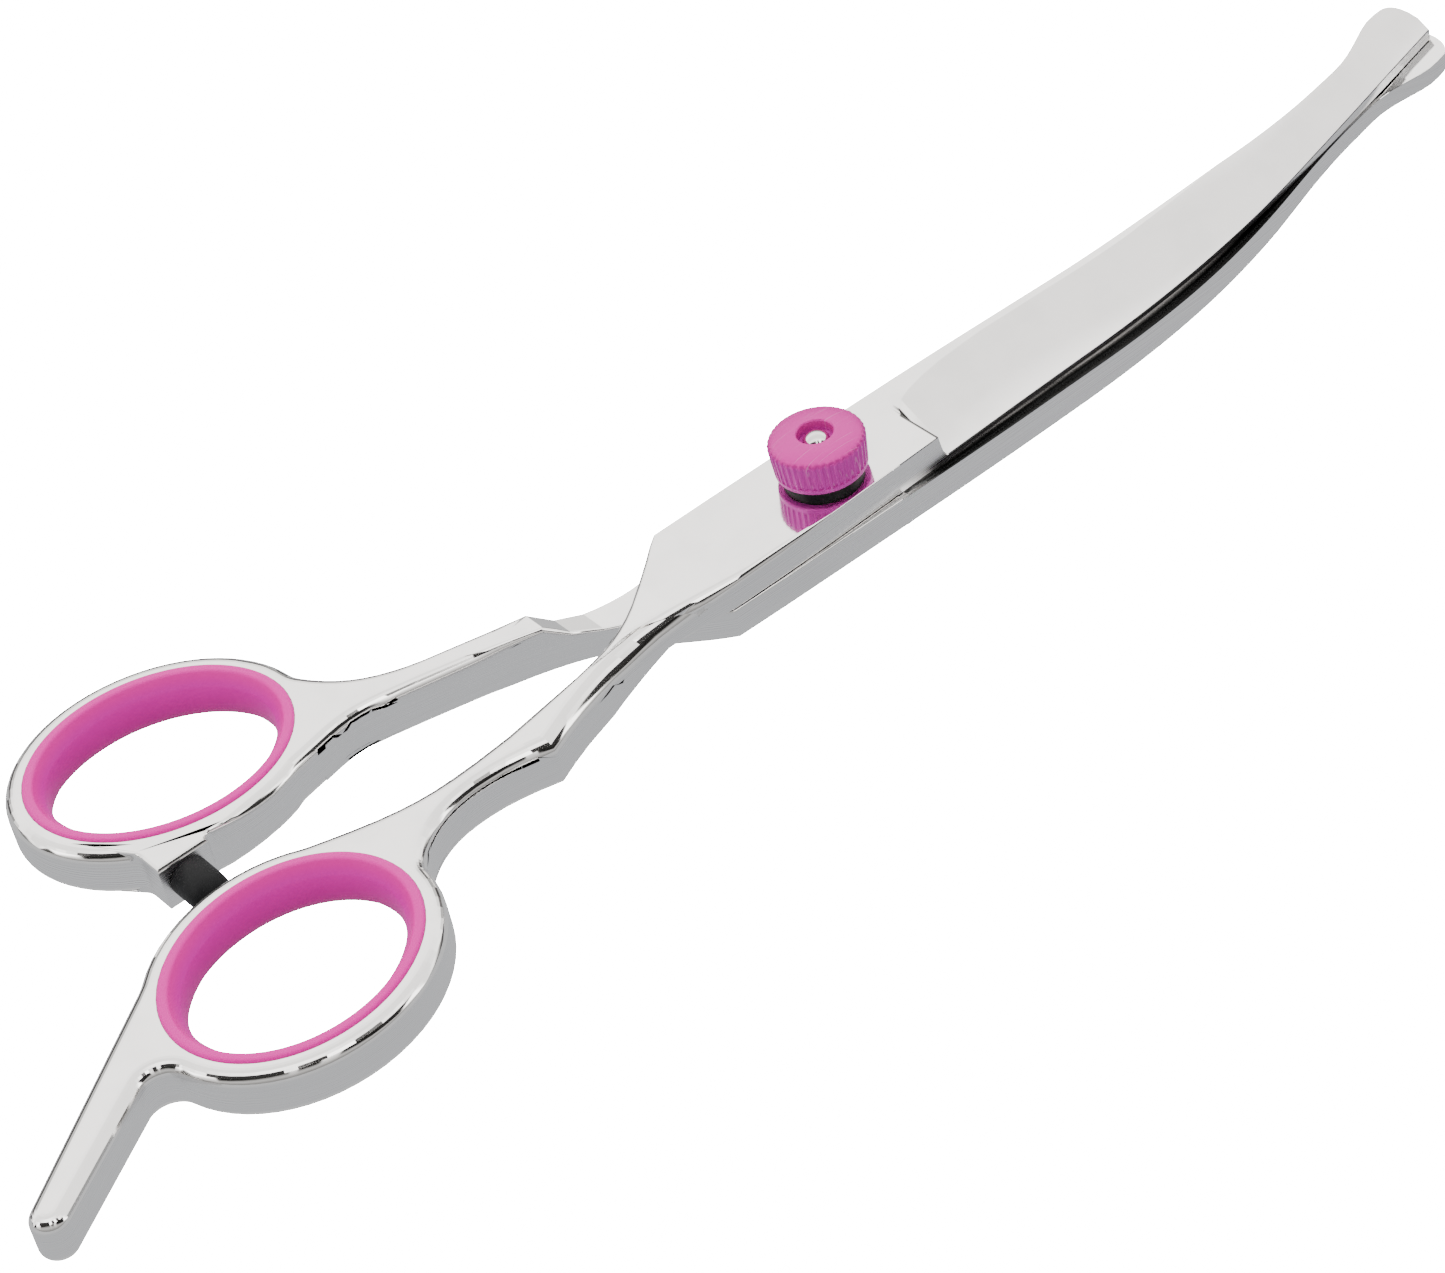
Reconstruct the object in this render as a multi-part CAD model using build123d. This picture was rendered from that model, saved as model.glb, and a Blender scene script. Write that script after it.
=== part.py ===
from build123d import *
import os
from math import atan, cos, pi, sin, tan

os.makedirs("parts", exist_ok=True)

# Curved shears with two finger rings.  All sizes are in millimetres.
# +X runs along the closed blades to the tip, +Z is the side of the tension dial, and the origin is on the
# pivot axis, in the plane that the closed shears lie on.

# ---------------------------------------------------------------- blades
ricasso_thickness = 3.45        # one blade round the pivot
face_gap = 0.10                 # running gap between the inner faces
tip_reach = 89.2                # pivot axis to the end of the closed tip
edge_land = 0.6                 # height of the wall beside the cutting edge
tip_land = 1.4                  # the same at the tip
land_rise = 60.0                # where it starts to grow
spine_strip = 1.1               # flat strip left along the spine by the hollow grind
tip_strip = -0.4                # the same near the tip, where the grind runs off the spine
strip_fade = (48.0, 68.0)       # the strip narrows between these distances
hollow_start = 11.5             # where the hollow grind begins
hollow_sag = 0.45               # depth of the hollow below a straight chord, for the drop given next
hollow_drop = 3.0
hollow_sections = (24, 40, 54, 66, 76, 86, 97.5)    # further sections of the grind; the last is past the tip
hollow_overrun = 0.5            # how far the grinding tool passes the cutting edge
hollow_rise = 0.1               # the tool's height there, below the top of the land

# The blades curve out of their plane, towards the dial: each height below stays level to its start,
# bends up along an arc, and goes on as a straight slope.
bend_end = 66.0                 # every bend is over at this distance from the pivot axis
inner_bend_start = 34.0
inner_slope = 0.240
outer_bend_start = 38.0
outer_slope = 0.225
under_bend_start = 30.0
under_slope = 0.260

# Plan of the upper blade: its spine is on +Y and its cutting edge on -Y.
# The lower blade has the same plan, mirrored in Y.
spine_points = [(-18.0, 6.3), (0, 6.4), (20, 6.3), (36, 5.9), (50, 5.4), (61, 4.3), (69, 3.2), (76, 2.8)]
flare_points = [(76, 2.8), (80.5, 3.1), (84.5, 4.6), (87.2, 4.8)]
tip_corner = (88.9, 3.3)
tip_middle_y = 0.6              # where the end of the tip crosses to its cutting side
spine_lean = (1, 0.02)          # direction of the spine at its rear end
flare_lean = (1, -0.1)          # direction of the flare as it turns into the end of the tip
edge_points = [(88.6, -1.7), (78, -2.45), (66, -3.1), (50, -3.7), (34, -4.2), (18, -4.9), (0, -5.8),
               (-17.8, -6.2)]

# ---------------------------------------------------------------- handles
handle_height = 5.6
neck_end = -24.0                # the ricasso's thickness is kept up to here
handle_top_start = -46.0        # the finger handle is down to its own height from here
ramp_start = -26.0              # the finger handle drops below the inner face from here
ramp_middle = (-35.0, 0.8)      # x and height half way down its underside
finger_cusp = (-43.8, -9.9)     # outward corner at the end of the finger handle's groove
thumb_cusp = (-33.8, 8.6)       # the same corner on the thumb handle
thumb_ramp_start = -28.5        # the thumb handle rises above the inner face from here
thumb_ramp_middle = (-31.4, 4.0)

finger_far_points = [(-18.0, 6.3), (-21.2, 3.7), (-25.8, 0.0), (-31, -2.7), (-40, -4.1), (-50, -5.1),
                     (-58, -5.0), (-66, -2.9), (-73, -0.4)]
finger_neck_points = [(-17.8, -6.2), (-25, -5.7), (-34, -6.7), finger_cusp]
finger_groove_points = [finger_cusp, (-47.5, -8.9), (-52.2, -8.4), (-57.3, -9.3), (-61.2, -11.8), (-64.5, -17)]
thumb_near_points = [(-18.0, -6.3), (-21.2, -3.7), (-25.8, 0.4), (-31.5, 3.9), (-37, 6.0), (-44, 7.8),
                     (-50, 9.3), (-55.3, 10.0), (-60, 9.2), (-68, 8.2)]
thumb_neck_points = [(-17.8, 6.2), (-24, 5.2), (-29, 6.3), thumb_cusp]
thumb_far_points = [thumb_cusp, (-40, 10.2), (-46, 12.2), (-51, 15.0), (-54.3, 19.0), (-56.5, 25.0)]

finger_ring_at = (-79.1, -14.0)
finger_ring_turn = 16.3
thumb_ring_at = (-71.5, 21.3)
thumb_ring_turn = -12.6
ring_wall = 2.0                 # steel outside the insert
insert_long = 14.5              # half of the insert's long width, over its lips
insert_short = 12.35

tang_tip_at = (-113.5, -23.6)
tang_tip_radius = 2.1
tang_root_at = (-87.6, -6.2)
tang_root_radius = 2.9

# Hollows where the plan's lines meet a ring: a point near each, and its radius.
finger_hollows = [((-69.4, -1.7), 6.0), ((-91.6, -5.4), 6.0), ((-62.8, -13.6), 2.5), ((-95.4, -14.6), 2.5)]
thumb_hollows = [((-55.1, 20.5), 4.0), ((-75.4, 7.5), 0.8), ((-81.4, 10.3), 2.0)]

boss_width = 6.0                # seat of the bumper on the thumb ring
boss_face = 6.4                 # its distance from the closed blades' centre line
boss_middle = -78.4

# ---------------------------------------------------------------- inserts and bumper
insert_lip = 0.8                # depth and width of the lips that grip the ring
insert_proud = 0.3              # lip standing above the handle
insert_wall_mouth = 1.3         # from the lip's outside to the opening, at either face
insert_wall_throat = 2.4        # the same half way through

bumper_radius = 2.2
bumper_dome = 1.3               # height of its rounded end
bumper_stem_radius = 1.2
bumper_stem = 1.0
bumper_clearance = 0.3          # bumper to finger ring when closed

# ---------------------------------------------------------------- pivot
bolt_head_radius = 3.9          # flat head, flush with the lower blade's outer face
bolt_head_height = 1.3
bolt_shank_radius = 2.0
bolt_neck_wall = 0.3            # the square neck, which keeps the bolt from turning, beyond the shank
bolt_neck_width = 2 * (bolt_shank_radius + bolt_neck_wall)
bolt_neck_height = 1.4
bolt_thread_radius = 1.45
bolt_sunk = 0.15                # end of the bolt below the top of the dial
bolt_dome = 0.5                 # height of the rounded end
bolt_dome_taper = 40            # its slope, degrees from the axis
shoulder_sunk = 0.05            # the shank's shoulder lies this far below the upper blade's outer face
running_fit = 0.05              # radial play of what turns
seat_fit = 0.03                 # play of what only sits

disc_radius = 4.6
disc_thickness = 0.8
disc_sunk = 0.4                 # how far the disc's seat goes into the lower blade

bush_radius = 3.2

nylon_radius = 4.35
nylon_thickness = 0.8
nylon_play = 0.15               # round the thread

dial_bottom_radius = 4.95
dial_top_radius = 5.25
dial_gap = 0.15                 # dial above the nylon washer, taken up by the disc spring
dial_height = 3.6               # up to the edge of the dome
dial_dome = 0.9
dial_rim = 0.6                  # plain rim under the knurling
dial_recess_radius = 1.95
dial_recess_depth = 1.3
dial_spring_seat_radius = 3.5
dial_spring_seat_depth = 0.65
knurl_count = 42
knurl_radius = 0.3
knurl_offset = 0.09             # flute axis outside the dial's side

spring_thickness = 0.25
spring_dish = 0.25              # height of the disc spring's cone
spring_play = 0.10              # inside its counterbore
spring_bore_play = 0.20         # round the thread
spring_lift = 0.05              # above the dial's lower face


# ---------------------------------------------------------------- helpers
far_away = 130.0                # larger than any part, for cutting tools
deep = 30.0
wall_steps = 400                # steps of the search for the ring's wall beside the bumper

upper_inner = ricasso_thickness + face_gap
outer_face = upper_inner + ricasso_thickness


def bend_radius(start, slope):
    """Radius of the arc that turns a level line to the slope between start and bend_end."""
    return (bend_end - start) / sin(atan(slope))


def bent_height(level, start, slope, distance):
    """Height of a bent face at a distance from the pivot axis."""
    if distance <= start:
        return level
    radius = bend_radius(start, slope)
    if distance <= bend_end:
        return level + radius - (radius ** 2 - (distance - start) ** 2) ** 0.5
    rise = radius * (1 - cos(atan(slope)))
    return level + rise + slope * (distance - bend_end)


def bent_edges(level, start, slope, reach):
    """The bent face's outline in the XZ plane: level line, arc and slope."""
    middle = (start + bend_end) / 2
    corner = (start, 0, level)
    through = (middle, 0, bent_height(level, start, slope, middle))
    turned = (bend_end, 0, bent_height(level, start, slope, bend_end))
    last = (reach, 0, bent_height(level, start, slope, reach))
    return [Line((0, 0, level), corner), ThreePointArc(corner, through, turned), Line(turned, last)]


def closed_face(edges, *corners):
    """A face from a run of edges, closed by straight lines through the corners."""
    first = edges[0] @ 0
    last = edges[-1] @ 1
    stops = [last] + [Vector(*corner) for corner in corners] + [first]
    closing = [Line(a, b) for a, b in zip(stops, stops[1:])]
    return Face(Wire(edges + closing))


def bent_block(level, start, slope):
    """All that lies under a bent face, for X above zero, across the whole width."""
    edges = bent_edges(level, start, slope, far_away)
    side = closed_face(edges, (far_away, 0, -deep), (0, 0, -deep))
    return extrude(side, amount=far_away, dir=(0, 1, 0), both=True)


def inner_block(level):
    """All that lies under the inner face, which is swept round the pivot axis so that the blades can turn."""
    edges = bent_edges(level, inner_bend_start, inner_slope, far_away)
    side = closed_face(edges, (far_away, 0, -deep), (0, 0, -deep))
    return revolve(side, Axis.Z, 360)


def side_block(points, floor):
    """A block across the whole width, from a run of (x, z) points down to the floor."""
    corners = [(x, 0, z) for x, z in points]
    outline = Polyline(*corners, (points[-1][0], 0, floor), (points[0][0], 0, floor), corners[0])
    return extrude(Face(Wire(outline.edges())), amount=far_away, dir=(0, 1, 0), both=True)


def half_space(x, towards_tip):
    """A large block on one side of a plane across the blades."""
    middle = x + far_away / 2 if towards_tip else x - far_away / 2
    return Pos(middle, 0, 0) * Box(far_away, 2 * far_away, 4 * deep)


def mirrored(points):
    return [(x, -y) for x, y in points]


def width_at(points, x):
    """Distance from the centre line of a plan line at x."""
    ordered = sorted(points)
    for (x0, y0), (x1, y1) in zip(ordered, ordered[1:]):
        if x0 <= x <= x1:
            return abs(y0 + (y1 - y0) * (x - x0) / (x1 - x0))
    return abs(ordered[-1][1])


def ramped(x, start, end, first, last):
    """A value that goes evenly from first to last between two places."""
    share = min(1.0, max(0.0, (x - start) / (end - start)))
    return first + (last - first) * share


def upward(face):
    """The same face, turned so that it looks along +Z."""
    return face if face.normal_at().Z > 0 else -face


def oval(at, turn, half_long, half_short, z=0.0):
    return Pos(at[0], at[1], z) * Rot(0, 0, turn) * Ellipse(half_long, half_short)


def tube(outer, inner, bottom, top):
    ring = Circle(outer) - Circle(inner)
    return Pos(0, 0, bottom) * extrude(ring, amount=top - bottom)


# ---------------------------------------------------------------- steel
def blade_plan(far_points, neck_points, groove_points):
    """Plan of a blade and its shank, drawn for the upper blade's handedness."""
    last_flare = flare_points[-1]
    tip_middle = (tip_reach, tip_middle_y)
    edges = [
        Spline(*reversed(far_points)),
        Spline(*spine_points, tangents=[spine_lean, (1, 0)]),
        Spline(*flare_points, tangents=[(1, 0), flare_lean]),
        Spline(last_flare, tip_corner, tip_middle, tangents=[flare_lean, (0, -1)]),
        Line(tip_middle, edge_points[0]),
        Spline(*edge_points),
        Spline(*neck_points),
        Spline(*groove_points),
        Line(groove_points[-1], far_points[-1]),
    ]
    return upward(Face(Wire(edges)))


def ring_outside(at, turn):
    return oval(at, turn, insert_long + ring_wall, insert_short + ring_wall)


def ring_hole(at, turn):
    """The stepped hole of a ring: a web in the middle that the insert's lips grip."""
    web = oval(at, turn, insert_long - insert_lip, insert_short - insert_lip, -deep)
    bottom = oval(at, turn, insert_long, insert_short, -deep)
    top = oval(at, turn, insert_long, insert_short, handle_height - insert_lip)
    return (extrude(web, amount=2 * deep) + extrude(bottom, amount=deep + insert_lip)
            + extrude(top, amount=deep))


def hollow_tool(facing):
    """Lofted tool for the hollow grind: facing is 1 for the upper blade's outer face, -1 for the lower's."""
    sections = []
    inner_level = upper_inner if facing > 0 else ricasso_thickness
    for x in (hollow_start,) + hollow_sections:
        reach = min(x, tip_reach)
        inner = bent_height(inner_level, inner_bend_start, inner_slope, x)
        if facing > 0:
            outer = bent_height(outer_face, outer_bend_start, outer_slope, x)
        else:
            outer = bent_height(0, under_bend_start, under_slope, x)
        edge_y = -facing * width_at(edge_points, reach)
        strip = ramped(x, *strip_fade, spine_strip, tip_strip)
        strip_y = facing * (width_at(spine_points + flare_points[1:], reach) - strip)
        land = ramped(x, land_rise, tip_reach, edge_land, tip_land)
        near = Vector(x, edge_y - facing * hollow_overrun, inner + facing * (land - hollow_rise))
        far = Vector(x, strip_y, outer)
        sag = hollow_sag * (far.Z - near.Z) / hollow_drop
        middle = (near + far) / 2 - Vector(0, 0, sag)
        lift = Vector(0, 0, facing * deep)
        bottom = ThreePointArc(near, middle, far)
        sides = [Line(far, far + lift), Line(far + lift, near + lift), Line(near + lift, near)]
        sections.append(Face(Wire([bottom] + sides)))
    return loft(sections)


def rounded(body, hollows):
    """The body with the upright edge nearest to each point rounded to the radius beside it."""
    for at, radius in hollows:
        upright = body.edges().filter_by(Axis.Z).sort_by_distance(Vector(*at))[0]
        body = fillet(upright, radius)
    return body


def tang():
    """The finger rest that runs back from the finger ring."""
    direction = Vector(*tang_tip_at) - Vector(*tang_root_at)
    turn = direction.get_angle(Vector(1, 0, 0))
    tip = Pos(*tang_tip_at) * Circle(tang_tip_radius)
    root = Pos(*tang_root_at) * Circle(tang_root_radius)
    body = Pos(*tang_root_at) * Rot(0, 0, -turn) * Polygon(
        (0, -tang_root_radius), (direction.length, -tang_tip_radius),
        (direction.length, tang_tip_radius), (0, tang_root_radius), align=None)
    return tip + root + body


def upper_blade():
    plan = blade_plan(finger_far_points, finger_neck_points, finger_groove_points)
    plan = plan + ring_outside(finger_ring_at, finger_ring_turn) + tang()
    body = rounded(extrude(plan, amount=deep), finger_hollows)
    shank_top = side_block([(-far_away, handle_height), (handle_top_start, handle_height),
                            (neck_end, outer_face), (0, outer_face)], -deep)
    below_top = bent_block(outer_face, outer_bend_start, outer_slope) + shank_top
    ramp = side_block([(-far_away, 0), (finger_cusp[0], 0), ramp_middle, (ramp_start, upper_inner)], -deep)
    under = (inner_block(upper_inner) & half_space(ramp_start, True)) + ramp
    body = (body & below_top) - under
    body -= ring_hole(finger_ring_at, finger_ring_turn)
    body -= hollow_tool(1)
    body -= Cylinder(bush_radius, 2 * deep)
    body -= Pos(0, 0, upper_inner) * Cylinder(disc_radius + running_fit, 2 * (disc_thickness - disc_sunk))
    return body


def boss_plan():
    """Plan of the bumper's seat, reaching from the thumb ring towards the finger ring."""
    depth = thumb_ring_at[1] - boss_face
    return Pos(boss_middle, boss_face + depth / 2) * Rectangle(boss_width, depth)


def lower_blade():
    plan = blade_plan(mirrored(thumb_near_points), mirrored(thumb_neck_points), mirrored(thumb_far_points))
    plan = upward(mirror(plan, about=Plane.XZ).face())
    plan = plan + ring_outside(thumb_ring_at, thumb_ring_turn) + boss_plan()
    body = rounded(extrude(plan, amount=deep), thumb_hollows)
    handle = side_block([(-far_away, handle_height), (thumb_cusp[0], handle_height), thumb_ramp_middle,
                         (thumb_ramp_start, ricasso_thickness)], -deep)
    top = (inner_block(ricasso_thickness) & half_space(thumb_ramp_start, True)) + handle
    body = (body & top) - (bent_block(0, under_bend_start, under_slope) & half_space(0, True))
    body -= ring_hole(thumb_ring_at, thumb_ring_turn)
    body -= hollow_tool(-1)
    body -= Cylinder(bolt_head_radius + seat_fit, 2 * bolt_head_height)
    body -= Box(bolt_neck_width + 2 * seat_fit, bolt_neck_width + 2 * seat_fit, 2 * deep)
    body -= Pos(0, 0, ricasso_thickness) * Cylinder(disc_radius + seat_fit, 2 * disc_sunk)
    stem_hole = Pos(boss_middle, boss_face, handle_height / 2) * Rot(90, 0, 0) * Cylinder(
        bumper_stem_radius, 2 * (bumper_stem + seat_fit))
    return body - stem_hole


# ---------------------------------------------------------------- soft pieces
def ring_insert(at, turn):
    """A lining with a lip on each face of the ring and a waisted opening."""
    top = handle_height + insert_proud
    lower_lip = extrude(oval(at, turn, insert_long - seat_fit, insert_short - seat_fit),
                        amount=insert_lip - seat_fit)
    upper_lip = extrude(oval(at, turn, insert_long - seat_fit, insert_short - seat_fit,
                             handle_height - insert_lip + seat_fit),
                        amount=insert_lip + insert_proud - seat_fit)
    web_play = insert_lip + seat_fit
    barrel = extrude(oval(at, turn, insert_long - web_play, insert_short - web_play), amount=top)
    mouth = (insert_long - insert_wall_mouth, insert_short - insert_wall_mouth)
    throat = (insert_long - insert_wall_throat, insert_short - insert_wall_throat)
    opening = loft([oval(at, turn, *mouth, z=0), oval(at, turn, *throat, z=top / 2),
                    oval(at, turn, *mouth, z=top)])
    return lower_lip + upper_lip + barrel - opening


def finger_wall_at(x):
    """Y of the finger ring's wall that the bumper meets."""
    slope = tan(finger_ring_turn * pi / 180)
    half_long = insert_long + ring_wall
    half_short = insert_short + ring_wall
    steps = [i / wall_steps * pi for i in range(wall_steps + 1)]
    best = min(steps, key=lambda t: abs(half_long * cos(t) - half_short * sin(t) * slope
                                        - (x - finger_ring_at[0]) / cos(atan(slope))))
    turn = atan(slope)
    return finger_ring_at[1] + half_long * cos(best) * sin(turn) + half_short * sin(best) * cos(turn)


def bumper():
    """A domed plug in the thumb ring's boss, pointing at the finger ring."""
    length = boss_face - finger_wall_at(boss_middle) - bumper_clearance
    outline = [
        Line((0, 0, bumper_stem), (bumper_stem_radius - seat_fit, 0, bumper_stem)),
        Line((bumper_stem_radius - seat_fit, 0, bumper_stem), (bumper_stem_radius - seat_fit, 0, 0)),
        Line((bumper_stem_radius - seat_fit, 0, 0), (bumper_radius, 0, 0)),
        Line((bumper_radius, 0, 0), (bumper_radius, 0, bumper_dome - length)),
        Spline((bumper_radius, 0, bumper_dome - length), (0, 0, -length), tangents=[(0, 0, -1), (-1, 0, 0)]),
        Line((0, 0, -length), (0, 0, bumper_stem)),
    ]
    plug = revolve(Face(Wire(outline)), Axis.Z, 360)
    return Pos(boss_middle, boss_face, handle_height / 2) * Rot(-90, 0, 0) * plug


# ---------------------------------------------------------------- pivot pieces
def dial_base():
    return outer_face + nylon_thickness + dial_gap


def pivot_bolt():
    """Flat head, square neck, shank and thread; the thread's crests are left as a plain cylinder."""
    head = extrude(Circle(bolt_head_radius), amount=bolt_head_height)
    neck = extrude(Rectangle(bolt_neck_width, bolt_neck_width), amount=bolt_head_height + bolt_neck_height)
    shank = extrude(Circle(bolt_shank_radius), amount=outer_face - shoulder_sunk)
    bolt_end = dial_base() + dial_height + dial_dome - bolt_sunk
    thread = extrude(Circle(bolt_thread_radius), amount=bolt_end - bolt_dome)
    dome = Pos(0, 0, bolt_end - bolt_dome) * extrude(
        Circle(bolt_thread_radius), amount=bolt_dome, taper=bolt_dome_taper)
    return head + neck + shank + thread + dome


def pivot_disc():
    bottom = ricasso_thickness - disc_sunk
    return tube(disc_radius, bolt_shank_radius + running_fit, bottom, bottom + disc_thickness)


def pivot_bush():
    bottom = upper_inner + disc_thickness - disc_sunk
    return tube(bush_radius, bolt_shank_radius + running_fit, bottom, outer_face)


def nylon_washer():
    return tube(nylon_radius, bolt_thread_radius + nylon_play, outer_face, outer_face + nylon_thickness)


def disc_spring():
    """A dished washer in the dial's counterbore."""
    bottom = dial_base() + spring_lift
    inside = bolt_thread_radius + spring_bore_play
    outside = dial_spring_seat_radius - spring_play
    outline = Polyline((inside, 0, bottom + spring_dish), (outside, 0, bottom),
                       (outside, 0, bottom + spring_thickness),
                       (inside, 0, bottom + spring_dish + spring_thickness), (inside, 0, bottom + spring_dish))
    return revolve(Face(Wire(outline.edges())), Axis.Z, 360)


def tension_dial():
    base = dial_base()
    top = base + dial_height
    bore = bolt_thread_radius + running_fit
    side = [
        Line((bore, 0, base), (dial_bottom_radius, 0, base)),
        Line((dial_bottom_radius, 0, base), (dial_top_radius, 0, top)),
        Spline((dial_top_radius, 0, top), (dial_recess_radius, 0, top + dial_dome),
               tangents=[(-0.3, 0, 1), (-1, 0, 0)]),
        Line((dial_recess_radius, 0, top + dial_dome), (bore, 0, top + dial_dome)),
        Line((bore, 0, top + dial_dome), (bore, 0, base)),
    ]
    dial = revolve(Face(Wire(side)), Axis.Z, 360)
    recess_bottom = top + dial_dome - dial_recess_depth
    dial -= Pos(0, 0, recess_bottom) * extrude(Circle(dial_recess_radius), amount=deep)
    dial -= Pos(0, 0, base) * Cylinder(dial_spring_seat_radius, 2 * dial_spring_seat_depth)
    lean = atan((dial_top_radius - dial_bottom_radius) / dial_height) * 180 / pi
    rim_radius = dial_bottom_radius + (dial_top_radius - dial_bottom_radius) * dial_rim / dial_height
    flute = Pos(rim_radius + knurl_offset, 0, base + dial_rim) * Rot(0, lean, 0) * extrude(
        Circle(knurl_radius), amount=deep)
    return dial - [Rot(0, 0, 360 / knurl_count * i) * flute for i in range(knurl_count)]


nodes = {
    "upper_blade": upper_blade(),
    "lower_blade": lower_blade(),
    "finger_insert": ring_insert(finger_ring_at, finger_ring_turn),
    "thumb_insert": ring_insert(thumb_ring_at, thumb_ring_turn),
    "bumper": bumper(),
    "pivot_bolt": pivot_bolt(),
    "pivot_disc": pivot_disc(),
    "pivot_bush": pivot_bush(),
    "nylon_washer": nylon_washer(),
    "disc_spring": disc_spring(),
    "tension_dial": tension_dial(),
}

for name, shape in nodes.items():
    export_step(shape, f"parts/{name}.step")
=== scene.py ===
import math

import bmesh
import bpy
from mathutils import Euler, Matrix, Vector


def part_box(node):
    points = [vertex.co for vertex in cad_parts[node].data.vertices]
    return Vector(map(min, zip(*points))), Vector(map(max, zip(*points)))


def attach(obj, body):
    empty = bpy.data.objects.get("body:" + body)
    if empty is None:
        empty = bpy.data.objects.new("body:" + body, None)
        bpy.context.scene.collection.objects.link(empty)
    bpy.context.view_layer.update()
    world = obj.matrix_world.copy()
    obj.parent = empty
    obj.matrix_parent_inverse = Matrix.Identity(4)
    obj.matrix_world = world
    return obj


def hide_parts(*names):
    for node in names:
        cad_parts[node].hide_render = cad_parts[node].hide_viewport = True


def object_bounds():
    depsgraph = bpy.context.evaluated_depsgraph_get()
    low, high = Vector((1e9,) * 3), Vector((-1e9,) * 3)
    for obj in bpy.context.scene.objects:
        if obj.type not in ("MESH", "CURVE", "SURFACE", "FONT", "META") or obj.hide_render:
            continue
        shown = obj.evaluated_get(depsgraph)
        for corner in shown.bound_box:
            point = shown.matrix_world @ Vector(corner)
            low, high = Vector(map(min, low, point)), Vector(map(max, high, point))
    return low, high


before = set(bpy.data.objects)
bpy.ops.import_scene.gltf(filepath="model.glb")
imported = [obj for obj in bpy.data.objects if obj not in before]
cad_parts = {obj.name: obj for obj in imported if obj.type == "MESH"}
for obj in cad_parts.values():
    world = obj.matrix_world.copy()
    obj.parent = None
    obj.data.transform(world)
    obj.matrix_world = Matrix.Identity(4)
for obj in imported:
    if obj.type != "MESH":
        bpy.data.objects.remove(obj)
cad_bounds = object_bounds()

# Curved shears with two finger rings.  Sizes are in millimetres and meshes in metres.  X runs from the pivot
# towards the tips, Y across the blades and Z up, along the pivot.  Stops are (x, value) pairs, joined by
# straight lines.
MM = 0.001
hair = 0.01                     # settles which side of a limit a point on it lies

# ---------------------------------------------------------------- ring linings
lining_long = 14.47             # half of a lining's long width, over its lips
lining_short = 12.32
finger_ring_turn = 16.3         # degrees
thumb_ring_turn = -12.6
lip_height = 0.77               # of the lower lip
upper_lip_from = 4.83
lining_top = 5.9
lip_depth = 0.83                # how far the barrel lies inside the lips
mouth_depth = 1.3               # from the lip's outside to the opening, at either face
throat_depth = 2.4
lip_round = 0.38
mouth_round = 0.45
waist_from = 1.0                # below the top, and above the bottom
waist_steps = 14
lining_points = 144             # round a lining

# ---------------------------------------------------------------- tension dial
dial_bottom_radius = 4.95
dial_top_radius = 5.25
dial_chamfer = 0.12
dial_rim = 0.6                  # plain rim below the flutes
dial_rim_step = 0.03
dial_side_inset = 0.02          # of the flutes' top end
dial_dome = 0.9
dome_inset = 0.1                # of the dome's foot, and how far below it the flutes' side ends
dome_steps = 12
dial_recess_radius = 1.95
dial_recess_depth = 1.3
dial_bore = 1.5
spring_seat_radius = 3.5
spring_seat_depth = 0.65
flute_count = 42
flute_depth = 0.2
flute_share = 0.75              # of the pitch that a flute takes up
flute_run_out = 0.45            # of the dome's height
fluted_radius = 4.4             # points further out than this are fluted
points_per_flute = 8

# ---------------------------------------------------------------- pivot bolt
bolt_head_radius = 3.9
bolt_head_height = 1.3
bolt_head_chamfer = 0.1
bolt_neck_radius = 2.3
bolt_neck_height = 1.4
bolt_shank_radius = 2.0
bolt_shoulder = 6.95
bolt_thread_radius = 1.45
bolt_dome = 0.75
bolt_dome_steps = 9
bolt_dome_edge = 0.05
turned_points = 96              # round a turned piece

# ---------------------------------------------------------------- bumper
bumper_stem_radius = 1.17
bumper_socket = 1.0             # how deep the stem sits in its boss
bumper_socket_gap = 0.03
bumper_edge = 0.15
bumper_round = 1.9
bumper_flat = 0.08              # radius of the flat at its very end
bumper_points = 64

# ---------------------------------------------------------------- ground blades
grind_from = 4.9                # the blade is built in sections beyond this
section_runs = [(5.9, 11.2, 0.9), (11.3, 12.5, 0.1), (12.7, 34.0, 0.25), (35.0, 86.5, 1.2),
                (86.9, 89.16, 0.19)]            # from, to, step
ground_steps = 50               # quads across the ground face, the strip and the inner face
strip_steps = 4
inner_steps = 20
section_corner = 0.08
sharp_corner = 0.03
least_strip = 0.05
bend_end = 66.0
ricasso_thickness = 3.45
face_gap = 0.10
inner_bend = (34.0, 0.240)      # where the bend starts, and the slope that it reaches
outer_bend = (38.0, 0.225)
under_bend = (30.0, 0.260)
spine_line = [(0, 6.4), (20, 6.3), (36, 5.9), (50, 5.4), (61, 4.3), (69, 3.2), (76, 2.8), (80.5, 3.1),
              (84.5, 4.6), (87.2, 4.8)]
edge_line = [(0, 5.8), (18, 4.9), (34, 4.2), (50, 3.7), (66, 3.1), (78, 2.45), (88.6, 1.7)]
shoulder_at = 11.5              # the scoop falls off its shoulder here, over this length
shoulder_length = 1.0
shoulder_curve = [(11.5, 0.9), (12.1, 1.9), (13.2, 2.8), (14.8, 3.5), (17.0, 4.1), (20.0, 4.6),
                  (24.0, 4.9), (30.0, 5.2)]
strip_stops = [(30, 1.1), (48, 1.0), (68, -0.4)]        # width of the flat strip along the spine
land_stops = [(12, 0.6), (60, 0.6), (89.2, 1.4)]        # thickness that is left at the cutting edge
grind_sag = 0.45                # how hollow the ground face is, where it drops by the next value
grind_drop = 3.0
tip_fall = [(82.0, 0.0), (90.0, 0.19)]
inner_hollow = 0.48             # depth of the hollow inner face, reached this far from its edges
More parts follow.
